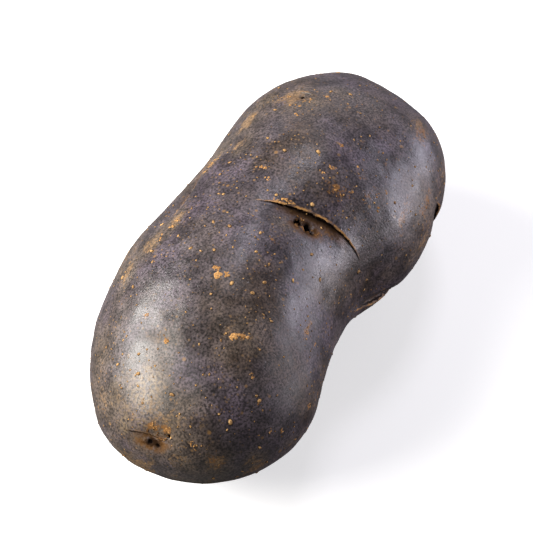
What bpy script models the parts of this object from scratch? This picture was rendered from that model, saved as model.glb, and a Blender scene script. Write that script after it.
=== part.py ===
"""A long purple potato lying on a table: one solid tuber with two lobes and a waist.

The form is worked out in millimetres and written to the mesh in metres, +Z up.
X runs along the tuber: -X is the rose end, where its eyes crowd together, and +X is the
stem end, with the scar where it hung on the plant. The table is z = 0, and the origin is
under the middle of the tuber. A place on the skin is given by how far along the tuber it
lies, from -1 at the rose end to 1 at the stem end, and by its angle round the tuber,
counted from +Y up over the top.
"""

import math
from dataclasses import dataclass

import bmesh
import bpy
from mathutils import Vector

MM = 0.001

# Driving dimensions, in millimetres
LENGTH = 119.5
BLUNTNESS = 2.35  # 2 would round the ends as on an ellipsoid
REST_DEPTH = 22.4  # how far below the tuber's axis it has grown flat, where it rests

# Place along the tuber, then how far the skin stands from the axis: left, right, up, down
SECTIONS = (
    (-1.00, 31.0, 31.5, 24.5, 23.5),
    (-0.65, 30.7, 32.0, 26.0, 24.5),
    (-0.30, 29.2, 25.2, 25.5, 23.8),
    (0.00, 26.4, 24.0, 24.2, 22.8),
    (0.28, 24.8, 30.2, 24.8, 23.8),
    (0.60, 27.8, 31.4, 24.8, 24.2),
    (1.00, 27.5, 31.5, 22.5, 23.0),
)
# Place along the tuber, then how far the axis bows to the left
AXIS = ((-1.0, 0.0), (-0.5, 1.4), (0.0, 2.8), (0.5, 1.6), (1.0, 0.2))

# Grid of the skin: cells round a quarter of the tuber, twice as many along its side
ROUND_CELLS = 16
LONG_CELLS = 2 * ROUND_CELLS
REFINED = (3.4, 1.5)  # how near to a crease the cells are halved, and halved again

SKIN_COLOUR = (0.075, 0.058, 0.068, 1.0)
SKIN_ROUGHNESS = 0.45


@dataclass(frozen=True)
class Eye:
    """A bud in its hollow, under the ridge of an old leaf scar, the brow."""

    place: float
    angle: float  # degrees
    lean: float  # degrees that the brow is turned, seen from outside
    hollow: tuple[float, float, float]  # half length, half width, depth
    brow: tuple[float, float, float]  # half length, rise above the bud, height of the lip
    shift: float = 0.0  # how far the brow's middle lies along it from the bud


@dataclass(frozen=True)
class Swelling:
    """A low round bulge of the skin, or a dip where its height is below 0."""

    place: float
    angle: float  # degrees
    spread: float
    height: float


EYES = {
    "waist": Eye(0.008, 114, 10, (6.5, 3.4, 1.5), (15.5, 2.5, 0.9), shift=3.0),
    "rose_top": Eye(-0.982, 88, 7, (4.6, 3.0, 1.3), (8.5, 2.2, 0.5), shift=0.5),
    "right_lobe": Eye(0.53, -174, 0, (4.6, 3.0, 1.6), (8.0, 2.6, 0.7)),
    "left_waist": Eye(0.03, 41, -76, (6.0, 2.4, 0.9), (12.0, 2.0, 0.6)),
    "right_fold": Eye(0.17, -158, -114, (9.0, 2.4, 1.1), (15.0, 1.8, 0.9)),
    "stem_top": Eye(0.57, 69, 5, (2.6, 1.8, 0.4), (4.5, 1.8, 0.25)),
    "stem_left": Eye(0.70, 0, -8, (4.4, 2.8, 1.1), (9.0, 2.8, 0.6)),
    "left_low": Eye(-0.34, -22, 6, (5.4, 3.0, 1.3), (11.0, 2.8, 0.7)),
    "stem_under": Eye(0.52, -62, 12, (4.8, 2.8, 1.0), (9.0, 2.6, 0.6)),
    "rose_right": Eye(-0.60, -145, -6, (5.0, 3.0, 1.3), (9.0, 2.8, 0.6)),
    "rose_under": Eye(-0.86, -78, 4, (4.4, 2.8, 1.1), (7.0, 2.6, 0.5)),
    "rose_left": Eye(-0.84, -40, 0, (4.0, 2.6, 1.0), (6.0, 2.4, 0.45)),
}

SWELLINGS = (
    Swelling(0.50, 120, 9.0, -1.1),
    Swelling(0.30, 100, 9.0, 0.7),
    Swelling(0.68, 150, 10.0, 0.8),
    Swelling(0.955, 122, 13.0, -2.4),
    Swelling(-0.94, -25, 9.0, 0.9),
    Swelling(0.66, 40, 8.0, 0.6),
    Swelling(-0.40, 95, 14.0, 0.5),
    Swelling(-0.72, 135, 10.0, 0.6),
    Swelling(0.05, 20, 10.0, -0.6),
    Swelling(-0.60, -30, 13.0, 0.8),
    Swelling(0.45, -25, 12.0, 0.7),
    Swelling(-0.15, -130, 11.0, -0.7),
)

CREASE_WIDTH = 0.7  # over which a brow steps from its groove up to its lip
GROOVE_FALL = 1.8
LIP_FALL = 3.6

STEM_SCAR = (4.5, 1.6)  # radius and depth of the dimple at the stem end
STEM_NUB = (1.7, 1.4)  # radius and height of the dried stub in it


def through(knots, place):
    """The values at a place on the smooth curve through rows of (place, value, ...)."""
    last = len(knots) - 1
    at = max(i for i in range(last) if i == 0 or knots[i][0] <= place)
    span = knots[at + 1][0] - knots[at][0]
    share = (place - knots[at][0]) / span

    def slope(i, column):
        before, after = max(i - 1, 0), min(i + 1, last)
        rise = knots[after][column] - knots[before][column]
        return rise / (knots[after][0] - knots[before][0])

    values = []
    for column in range(1, len(knots[0])):
        start, end = knots[at][column], knots[at + 1][column]
        cube, square = share**3, share**2
        values.append(
            (2 * cube - 3 * square + 1) * start
            + (cube - 2 * square + share) * span * slope(at, column)
            + (3 * square - 2 * cube) * end
            + (cube - square) * span * slope(at + 1, column)
        )
    return values


def sphere_point(corner):
    """The point of the unit sphere for a point of the cube, with even steps of angle."""
    return Vector([math.tan(c * math.pi / 4) for c in corner]).normalized()


def smooth_skin(direction):
    """The point of the smooth tuber that lies towards a point of the unit sphere."""
    x, y, z = direction
    left, right, up, down = through(SECTIONS, x)
    girth = max(math.hypot(y, z), 1e-6)
    blunt = max(1 - abs(x) ** BLUNTNESS, 0.0) ** (1 / BLUNTNESS) / girth
    side = left if y > 0 else right
    height = up if z > 0 else down
    bow = through(AXIS, x)[0]
    return Vector((x * LENGTH / 2, y * side * blunt + bow, z * height * blunt))


def direction_of(place, angle):
    """The point of the unit sphere at a place along the tuber and an angle round it."""
    girth = math.sqrt(1 - place * place)
    turn = math.radians(angle)
    return Vector((place, girth * math.cos(turn), girth * math.sin(turn)))


def skin_frame(place, angle, lean=0.0):
    """The point of the skin there, its outward normal, and the ways across and stemward."""
    direction = direction_of(place, angle)
    point = smooth_skin(direction)
    aside = direction.cross(Vector((0, 0, 1))).normalized()
    over = direction.cross(aside)
    step = 0.01
    edge_1 = smooth_skin((direction + aside * step).normalized()) - point
    edge_2 = smooth_skin((direction + over * step).normalized()) - point
    normal = edge_1.cross(edge_2).normalized()
    if normal.dot(direction) < 0:
        normal.negate()
    stemward = Vector((1, 0, 0))
    stemward = (stemward - normal * stemward.dot(normal)).normalized()
    across = stemward.cross(normal)
    turn = math.radians(lean)
    leant_across = across * math.cos(turn) + stemward * math.sin(turn)
    leant_stemward = stemward * math.cos(turn) - across * math.sin(turn)
    return point, normal, leant_across, leant_stemward


def eye_relief(eye, u, v):
    """How far an eye moves the skin at u across it and v from its bud towards the brow."""
    half_length, half_width, depth = eye.hollow
    hollow = -depth * math.exp(-((u / half_length) ** 2) - (v / half_width) ** 2)
    half_brow, rise, lip = eye.brow
    reach = 1 - ((u - eye.shift) / half_brow) ** 2
    if reach <= 0:
        return hollow
    past_brow = v - rise * reach
    outside = 0.5 + 0.5 * math.tanh(past_brow / CREASE_WIDTH)
    ridge = lip * math.exp(-max(past_brow, 0.0) / LIP_FALL)
    groove = 0.8 * lip * math.exp(min(past_brow, 0.0) / GROOVE_FALL)
    return hollow + (outside * ridge - (1 - outside) * groove) * reach


class Relief:
    """Everything that stands out of or dips into the smooth tuber."""

    def __init__(self):
        self.eyes = [(eye, skin_frame(eye.place, eye.angle, eye.lean)) for eye in EYES.values()]
        self.swellings = [(s, skin_frame(s.place, s.angle)[0]) for s in SWELLINGS]
        self.stem_end = smooth_skin(Vector((1, 0, 0)))

    def is_fine(self, point, reach):
        """Whether a point lies within reach of a crease, or on the stem scar."""
        if (point - self.stem_end).length < STEM_SCAR[0] + reach:
            return True
        for eye, (centre, normal, across, stemward) in self.eyes:
            away = point - centre
            half_brow, rise, _lip = eye.brow
            along = (away.dot(across) - eye.shift) / half_brow
            past_brow = away.dot(stemward) - rise * (1 - along * along)
            if abs(along) < 1 and abs(past_brow) < reach and away.dot(normal) > -half_brow:
                return True
        return False

    def height(self, point):
        """How far the skin is moved along its normal at a point of the smooth tuber."""
        total = 0.0
        for eye, (centre, normal, across, stemward) in self.eyes:
            away = point - centre
            if away.length < 2.2 * eye.brow[0] and away.dot(normal) > -eye.brow[0]:
                total += eye_relief(eye, away.dot(across), away.dot(stemward))
        for swelling, centre in self.swellings:
            total += swelling.height * math.exp(-((point - centre).length / swelling.spread) ** 2)
        radius, depth = STEM_SCAR
        nub_radius, nub_height = STEM_NUB
        away = (point - self.stem_end).length
        total -= depth * math.exp(-((away / radius) ** 2))
        total += nub_height * math.exp(-((away / nub_radius) ** 4))
        return total


def grid_cube(mesh):
    """A cube of side 2 cut into an even grid, twice as fine along X."""
    bmesh.ops.create_cube(mesh, size=2)

    def along_x(edge):
        return abs(edge.verts[0].co.x - edge.verts[1].co.x) > 1

    long_edges = [e for e in mesh.edges if along_x(e)]
    bmesh.ops.subdivide_edges(mesh, edges=long_edges, cuts=LONG_CELLS - 1, use_grid_fill=True)
    step = 2 / LONG_CELLS
    round_edges = [e for e in mesh.edges if e.calc_length() > 2 * step]
    bmesh.ops.subdivide_edges(mesh, edges=round_edges, cuts=ROUND_CELLS - 1, use_grid_fill=True)


def refine(mesh, relief, reach):
    """Halves the cells of the grid that lie within reach of the fine relief."""
    edges = set()
    for face in mesh.faces:
        if relief.is_fine(smooth_skin(sphere_point(face.calc_center_median())), reach):
            edges.update(face.edges)
    bmesh.ops.subdivide_edges(mesh, edges=list(edges), cuts=1, use_grid_fill=True)


def skin_material():
    """The dark, faintly purple skin."""
    material = bpy.data.materials.new("dark_purple_skin")
    material.use_nodes = True
    shader = material.node_tree.nodes["Principled BSDF"]
    shader.inputs["Base Color"].default_value = SKIN_COLOUR
    shader.inputs["Roughness"].default_value = SKIN_ROUGHNESS
    shader.inputs["Metallic"].default_value = 0.0
    return material


def build_potato():
    """The tuber as one closed mesh, resting on its flat spot."""
    relief = Relief()
    grid = bmesh.new()
    grid_cube(grid)
    for reach in REFINED:
        refine(grid, relief, reach)
    for vertex in grid.verts:
        vertex.co = smooth_skin(sphere_point(vertex.co))
    grid.normal_update()
    moved = [v.co + v.normal * relief.height(v.co) for v in grid.verts]
    middle_x = (min(p.x for p in moved) + max(p.x for p in moved)) / 2
    middle_y = (min(p.y for p in moved) + max(p.y for p in moved)) / 2
    for vertex, point in zip(grid.verts, moved):
        height = max(point.z + REST_DEPTH, 0.0)
        vertex.co = Vector((point.x - middle_x, point.y - middle_y, height)) * MM
    bmesh.ops.recalc_face_normals(grid, faces=grid.faces)
    mesh = bpy.data.meshes.new("potato")
    grid.to_mesh(mesh)
    grid.free()
    mesh.shade_smooth()
    mesh.materials.append(skin_material())
    potato = bpy.data.objects.new("potato", mesh)
    bpy.context.scene.collection.objects.link(potato)
    return potato


def main():
    for old in list(bpy.data.objects):
        bpy.data.objects.remove(old)
    build_potato()


main()
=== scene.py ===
"""Dresses the long purple potato: its fine skin, dots, flakes and earth, and the studio.

The form is the same rule as the solid's, worked out in millimetres on a much finer mesh and
written in metres. A place on the skin is given by how far along the tuber it lies, from -1 at
the rose end (-X) to 1 at the stem end (+X), and by its angle round the tuber, in degrees from
+Y up over the top. The tuber lies on z = 0 with the middle of its box over the origin.
"""

from __future__ import annotations

import logging
import math
from dataclasses import astuple, dataclass, field
from enum import Enum
from functools import cached_property
from typing import Any, Callable, Iterable, Union

import bmesh
import bpy
import numpy as np
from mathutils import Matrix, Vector, noise

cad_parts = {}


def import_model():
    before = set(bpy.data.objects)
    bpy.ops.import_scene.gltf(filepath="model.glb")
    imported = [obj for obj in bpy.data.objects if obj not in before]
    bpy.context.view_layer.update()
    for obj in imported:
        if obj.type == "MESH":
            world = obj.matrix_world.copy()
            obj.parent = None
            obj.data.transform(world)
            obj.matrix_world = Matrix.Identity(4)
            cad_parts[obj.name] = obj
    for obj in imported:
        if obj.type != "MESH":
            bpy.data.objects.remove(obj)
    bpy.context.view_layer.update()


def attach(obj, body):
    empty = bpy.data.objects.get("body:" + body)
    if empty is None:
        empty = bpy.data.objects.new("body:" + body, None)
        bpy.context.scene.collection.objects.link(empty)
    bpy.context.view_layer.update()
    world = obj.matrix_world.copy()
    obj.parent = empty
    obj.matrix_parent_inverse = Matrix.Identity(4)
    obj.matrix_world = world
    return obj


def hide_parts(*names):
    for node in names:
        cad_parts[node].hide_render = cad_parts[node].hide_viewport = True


LOG = logging.getLogger("potato")
MM = 0.001
FAR_OFF = 20.0
NO_PIT = 3.0
BROW_REACH = 2.2
HIDDEN_DEPTH = 12.0
OUT_OF_REACH = 100.0
SMALL_STEP = 0.01
SETTLING = (12, 0.8)
FILM_PATCH = 14.0
FILM_OFFSET = Vector((7.0, 1.0, 3.0))
UP = (0.0, 0.0, 1.0)

Array = np.ndarray
Node = bpy.types.Node
Socket = bpy.types.NodeSocket
Tree = bpy.types.NodeTree
Colour = tuple[float, float, float, float]
Value = Union[Socket, float, tuple]

WHITE: Colour = (1.0, 1.0, 1.0, 1.0)
BLACK: Colour = (0.0, 0.0, 0.0, 1.0)
BRIGHT: Colour = (0.70, 0.70, 0.70, 1.0)
DIM: Colour = (0.12, 0.12, 0.12, 1.0)


# The form


@dataclass(frozen=True)
class Section:
    """How far the smooth skin stands from the axis at a place along the tuber."""

    place: float
    left: float
    right: float
    up: float
    down: float


@dataclass(frozen=True)
class AxisBow:
    """How far the axis bows to the left at a place along the tuber."""

    place: float
    left: float


@dataclass(frozen=True)
class Swelling:
    """A low round bulge of the skin, or a dip where its height is below 0."""

    place: float
    angle: float
    spread: float
    height: float


@dataclass(frozen=True)
class Blotch:
    """A soft patch of colour at a given place; spread is across and towards the stem."""

    place: float
    angle: float
    spread: tuple[float, float]
    strength: float
    turn: float = 0.0


@dataclass(frozen=True)
class Pit:
    """A bud's dark hole in an eye, placed across it and towards its brow."""

    across: float
    stemward: float
    radius: float
    depth: float

    def far(self, across: Array, stemward: Array) -> Array:
        """How many of its radii points lie from it."""
        return np.hypot(across - self.across, stemward - self.stemward) / self.radius


@dataclass(frozen=True)
class Eye:
    """A bud in its hollow, under the ridge of an old leaf scar, the brow.

    hollow is its half length, half width and depth; brow is its half length, its rise above
    the bud and the height of its lip; overhang is how far the lip leans over the hollow. stain
    is how strong the eye's brown stain is, and patch the stain's place across and towards the
    stem with its half length and half width. worn is how much of the lip is corky, and shade
    how wide and black the painted shade in its crease is.
    """

    place: float
    angle: float
    lean: float
    hollow: tuple[float, float, float]
    brow: tuple[float, float, float]
    shift: float = 0.0
    overhang: float = 0.25
    stain: float = 0.6
    worn: float = 0.5
    pits: tuple[Pit, ...] = (Pit(0.0, -0.3, 0.8, 0.7),)
    patch: tuple[float, float, float, float] = (0.0, -0.4, 3.0, 2.2)
    shade: float = 0.85


@dataclass(frozen=True)
class SkinFrame:
    """A point of the smooth skin, with the directions there."""

    centre: Array
    normal: Array
    across: Array
    stemward: Array

    def local(self, points: Array) -> tuple[Array, Array, Array]:
        """How far points lie across, towards the stem and outwards from here."""
        away = points - self.centre
        return away @ self.across, away @ self.stemward, away @ self.normal


@dataclass(frozen=True)
class Bud:
    """An eye in its place on the smooth skin; its methods take points of that skin."""

    eye: Eye
    frame: SkinFrame
    crease_width: float = 0.22
    groove_fall: float = 1.8
    groove_share: float = 0.8
    lip_fall: float = 3.6
    lean_fall: float = 1.4
    taper: float = 1.3

    def crease(self, points: Array) -> tuple[Array, Array]:
        """How points lie about the brow.

        Args:
            points: Points of the smooth skin.

        Returns:
            How strong the brow is beside each point, from 0 at its ends to 1 in the middle,
            and how far the point lies past its crease towards the lip.
        """
        across, stemward, out = self.frame.local(points)
        half_brow, rise, _lip = self.eye.brow
        reach = 1 - ((across - self.eye.shift) / half_brow) ** 2
        far = np.linalg.norm(points - self.frame.centre, axis=1)
        facing = (out > -half_brow) & (far < BROW_REACH * half_brow)
        past_brow = stemward - rise * np.maximum(reach, 0.0)
        return np.where(facing, np.clip(reach, 0.0, 1.0), 0.0), past_brow

    def height(self, points: Array) -> Array:
        """How far the eye moves each point along its normal, below 0 in the hollow."""
        across, stemward, out = self.frame.local(points)
        half_length, half_width, depth = self.eye.hollow
        height = -depth * np.exp(-((across / half_length) ** 2) - (stemward / half_width) ** 2)
        for pit in self.eye.pits:
            height -= pit.depth * np.exp(-(pit.far(across, stemward) ** 3))
        reach, past_brow = self.crease(points)
        lip = self.eye.brow[2]
        outside = 0.5 + 0.5 * np.tanh(past_brow / self.crease_width)
        ridge = lip * np.exp(-np.maximum(past_brow, 0.0) / self.lip_fall)
        groove = self.groove_share * lip * np.exp(np.minimum(past_brow, 0.0) / self.groove_fall)
        step = (outside * ridge - (1 - outside) * groove) * reach**self.taper
        return np.where(out > -self.eye.brow[0], height + step, 0.0)

    def lean(self, points: Array) -> Array:
        """How far the lip leans sideways over its groove at each point."""
        reach, past_brow = self.crease(points)
        share = np.where(past_brow > 0, np.exp(-past_brow / self.lean_fall), 0.0) * reach
        return -self.frame.stemward * (share * self.eye.overhang)[:, None]

    def beside(self, points: Array, within: float) -> Array:
        """Which points lie by the crease or a pit, within so many millimetres."""
        reach, past_brow = self.crease(points)
        near = (reach > 0.02) & (np.abs(past_brow) < within)
        frame = self.frame
        for pit in self.eye.pits:
            spot = frame.centre + frame.across * pit.across + frame.stemward * pit.stemward
            near |= np.linalg.norm(points - spot, axis=1) < pit.radius + within / 2
        return near


def unit(vectors: Array) -> Array:
    """One vector, or one in each row, scaled to length 1."""
    length = np.linalg.norm(vectors, axis=-1, keepdims=True)
    return vectors / np.maximum(length, 1e-12)


def fade(values: Array, start: float, span: float) -> Array:
    """A straight rise from 0 at the start to 1 a span further on."""
    return np.clip((values - start) / span, 0, 1)


def band(angle: Array, middle: float, half: float) -> Array:
    """A band along the tuber: 1 at its middle angle, 0 from half its width on, in degrees."""
    away = np.abs((angle - middle + 180) % 360 - 180)
    return fade(-away, -half, half)


def through(knots: Iterable[Any], place: Array) -> Array:
    """A smooth curve through knots.

    Args:
        knots: Dataclasses that hold a place followed by the values there.
        place: Where to read the curve.

    Returns:
        One row of values for each place.
    """
    rows = np.array([astuple(knot) for knot in knots])
    at, values = rows[:, 0], rows[:, 1:]
    before = np.maximum(np.arange(len(at)) - 1, 0)
    after = np.minimum(np.arange(len(at)) + 1, len(at) - 1)
    slopes = (values[after] - values[before]) / (at[after] - at[before])[:, None]
    i = np.clip(np.searchsorted(at, place, side="right") - 1, 0, len(at) - 2)
    span = (at[i + 1] - at[i])[:, None]
    share = (place - at[i])[:, None] / span
    cube, square = share**3, share**2
    return (
        (2 * cube - 3 * square + 1) * values[i]
        + (cube - 2 * square + share) * span * slopes[i]
        + (3 * square - 2 * cube) * values[i + 1]
        + (cube - square) * span * slopes[i + 1]
    )


@dataclass
class TuberForm:
    """The tuber's shape as a rule, in millimetres."""

    length: float = 119.5
    half_width: float = 28.0
    half_height: float = 25.0
    bluntness: float = 2.35
    rest_depth: float = 22.4
    stem_scar: tuple[float, float] = (4.5, 1.6)
    stem_nub: tuple[float, float] = (1.7, 1.4)
    lumps: tuple[tuple[float, float], ...] = ((9.0, 0.22), (4.0, 0.12), (1.8, 0.05))
    sections: tuple[Section, ...] = (
        Section(-1.00, 31.0, 31.5, 24.5, 23.5),
        Section(-0.65, 30.7, 32.0, 26.0, 24.5),
        Section(-0.30, 29.2, 25.2, 25.5, 23.8),
        Section(0.00, 26.4, 24.0, 24.2, 22.8),
        Section(0.28, 24.8, 30.2, 24.8, 23.8),
        Section(0.60, 27.8, 31.4, 24.8, 24.2),
        Section(1.00, 27.5, 31.5, 22.5, 23.0),
    )
    axis: tuple[AxisBow, ...] = (
        AxisBow(-1.0, 0.0),
        AxisBow(-0.5, 1.4),
        AxisBow(0.0, 2.8),
        AxisBow(0.5, 1.6),
        AxisBow(1.0, 0.2),
    )
    eyes: tuple[Eye, ...] = (
        Eye(0.008, 114, 10, (6.5, 3.4, 1.5), (14.4, 2.5, 0.55), 2.8, 0.35, 1.0, 1.0,
            (Pit(-0.6, -0.6, 1.0, 1.2), Pit(2.1, -1.0, 1.15, 1.5), Pit(3.4, -1.8, 0.5, 0.5)),
            (1.5, -1.3, 4.4, 2.3), 1.0),
        Eye(-0.982, 88, 7, (4.6, 3.0, 1.3), (4.2, 0.9, 0.34), -3.4, 0.1, 1.0, 0.25,
            (Pit(-1.4, -1.3, 0.6, 0.35), Pit(0.6, -1.9, 0.5, 0.4), Pit(3.4, 1.4, 0.5, 0.6)),
            (-0.9, -1.1, 4.2, 2.4), 0.78),
        Eye(0.53, -174, 0, (4.6, 3.0, 1.3), (6.0, 2.6, 0.5), 0.0, 0.25, 1.0, 0.7, shade=0.42),
        Eye(0.03, 41, -76, (6.0, 2.4, 0.9), (12.0, 2.0, 0.45), 0.0, 0.2, 0.3, 0.9),
        Eye(0.17, -158, -114, (9.0, 2.4, 1.1), (15.0, 1.8, 0.7), 0.0, 0.3, 0.8, 1.0, shade=0.45),
        Eye(0.57, 69, 5, (2.6, 1.8, 0.4), (4.5, 1.8, 0.13), 0.0, 0.05, 0.35, 0.4,
            (Pit(0.3, 0.2, 0.5, 0.35),), shade=0.19),
        Eye(0.70, 0, -8, (4.4, 2.8, 1.1), (9.0, 2.8, 0.6)),
        Eye(-0.34, -22, 6, (5.4, 3.0, 1.3), (11.0, 2.8, 0.7)),
        Eye(0.52, -62, 12, (4.8, 2.8, 1.0), (9.0, 2.6, 0.6)),
        Eye(-0.60, -145, -6, (5.0, 3.0, 1.3), (9.0, 2.8, 0.6)),
        Eye(-0.86, -78, 4, (4.4, 2.8, 1.1), (7.0, 2.6, 0.5)),
        Eye(-0.84, -40, 0, (4.0, 2.6, 1.0), (6.0, 2.4, 0.45)),
    )
    swellings: tuple[Swelling, ...] = (
        Swelling(0.50, 120, 9.0, -1.1),
        Swelling(0.30, 100, 9.0, 0.7),
        Swelling(0.68, 150, 10.0, 0.8),
        Swelling(0.955, 122, 13.0, -2.4),
        Swelling(-0.94, -25, 9.0, 0.9),
        Swelling(0.66, 40, 8.0, 0.6),
        Swelling(-0.40, 95, 14.0, 0.5),
        Swelling(-0.72, 135, 10.0, 0.6),
        Swelling(0.05, 20, 10.0, -0.6),
        Swelling(-0.60, -30, 13.0, 0.8),
        Swelling(0.45, -25, 12.0, 0.7),
        Swelling(-0.15, -130, 11.0, -0.7),
    )
    buds: list[Bud] = field(init=False)
    centre: Array = field(init=False)

    def __post_init__(self) -> None:
        """Puts each eye in its place; the box's middle is set by the skin."""
        self.buds = [Bud(eye, self.frame(eye.place, eye.angle, eye.lean)) for eye in self.eyes]
        self.centre = np.zeros(3)

    def smooth(self, directions: Array) -> Array:
        """The smooth tuber without its relief.

        Args:
            directions: Points of the unit sphere, one in each row.

        Returns:
            The point of the smooth skin towards each of them.
        """
        x, y, z = directions.T
        left, right, up, down = through(self.sections, x).T
        bow = through(self.axis, x)[:, 0]
        girth = np.maximum(np.hypot(y, z), 1e-6)
        inside = np.maximum(1 - np.abs(x) ** self.bluntness, 0.0)
        blunt = inside ** (1 / self.bluntness) / girth
        side = np.where(y > 0, left, right)
        height = np.where(z > 0, up, down)
        return np.stack([x * self.length / 2, y * side * blunt + bow, z * height * blunt], 1)

    def normals(self, directions: Array) -> Array:
        """The smooth skin's outward normals, one towards each point of the unit sphere."""
        aside = unit(np.cross(directions, UP))
        over = np.cross(directions, aside)
        here = self.smooth(directions)
        one = self.smooth(unit(directions + aside * SMALL_STEP)) - here
        two = self.smooth(unit(directions + over * SMALL_STEP)) - here
        normals = unit(np.cross(one, two))
        normals[np.sum(normals * directions, axis=1) < 0] *= -1
        return normals

    def frame(self, place: float, angle: float, lean: float = 0.0) -> SkinFrame:
        """The directions at a place on the skin.

        Args:
            place: How far along the tuber, from -1 to 1.
            angle: Degrees round it from +Y over the top.
            lean: Degrees that the directions are turned, seen from outside.

        Returns:
            The point with its normal and the ways across and towards the stem.
        """
        girth, round_it = math.sqrt(1 - place * place), math.radians(angle)
        towards = np.array([[place, girth * math.cos(round_it), girth * math.sin(round_it)]])
        normal = self.normals(towards)[0]
        stemward = np.array([1.0, 0.0, 0.0])
        stemward = unit(stemward - normal * (stemward @ normal))
        across = np.cross(stemward, normal)
        turn = math.radians(lean)
        return SkinFrame(
            self.smooth(towards)[0],
            normal,
            across * math.cos(turn) + stemward * math.sin(turn),
            stemward * math.cos(turn) - across * math.sin(turn),
        )

    def height(self, points: Array) -> Array:
        """How far the relief moves each point of the smooth skin along its normal."""
        total = np.zeros(len(points))
        for bud in self.buds:
            total += bud.height(points)
        for swelling in self.swellings:
            centre = self.frame(swelling.place, swelling.angle).centre
            far = np.linalg.norm(points - centre, axis=1) / swelling.spread
            total += swelling.height * np.exp(-(far**2))
        far = np.linalg.norm(points - self.stem_end(), axis=1)
        total -= self.stem_scar[1] * np.exp(-((far / self.stem_scar[0]) ** 2))
        total += self.stem_nub[1] * np.exp(-((far / self.stem_nub[0]) ** 4))
        for size, height in self.lumps:
            total += height * np.array([noise.noise(Vector(p / size)) for p in points])
        return total

    def stem_end(self) -> Array:
        """The tip of the smooth tuber at the stem end."""
        return self.smooth(np.array([[1.0, 0.0, 0.0]]))[0]

    def fine(self, points: Array, within: float) -> Array:
        """Which points lie within so many millimetres of a crease, a pit or the stem scar."""
        near = np.linalg.norm(points - self.stem_end(), axis=1) < self.stem_nub[0] + within
        for bud in self.buds:
            near |= bud.beside(points, within)
        return near

    def share_of(self, blotch: Blotch, points: Array) -> Array:
        """How strong a blotch is at each point; it is nothing on the tuber's other side."""
        across, stemward, out = self.frame(blotch.place, blotch.angle, blotch.turn).local(points)
        hidden = np.where(out > -HIDDEN_DEPTH, 0.0, OUT_OF_REACH)
        flat = np.stack([across + hidden, stemward + hidden], 1) / blotch.spread
        return blotch.strength * np.exp(-np.sum(flat**2, axis=1))

    def on_skin(self, frame: SkinFrame, flat: Array) -> tuple[Array, Array]:
        """Bends flat points onto the skin about a place.

        Args:
            frame: The place with its directions.
            flat: Rows of across, stemward and height above the skin, in millimetres.

        Returns:
            The points in the model's frame, in metres, and the skin's outward normals there.
        """
        reach = np.array((self.length / 2, self.half_width, self.half_height))
        wanted = frame.centre + flat[:, :1] * frame.across + flat[:, 1:2] * frame.stemward
        towards = unit(wanted / reach)
        steps, share = SETTLING
        for _step in range(steps):
            towards = unit(towards + (wanted - self.smooth(towards)) / reach * share)
        normals = self.normals(towards)
        smooth = self.smooth(towards)
        lifted = smooth + normals * (self.height(smooth) + flat[:, 2])[:, None]
        return self.put_down(lifted), normals

    def put_down(self, points: Array) -> Array:
        """Points about the axis, in metres in the model's frame, none below the table."""
        placed = points - self.centre + (0.0, 0.0, self.rest_depth)
        placed[:, 2] = np.maximum(placed[:, 2], 0.0)
        return placed * MM


# Nodes


@dataclass(frozen=True)
class Speckle:
    """Noise as a mask: its cells in one metre, its finer layers, and its smooth step."""

    scale: float
    detail: float
    low: float
    high: float
    below: float = 0.0
    above: float = 1.0


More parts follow.
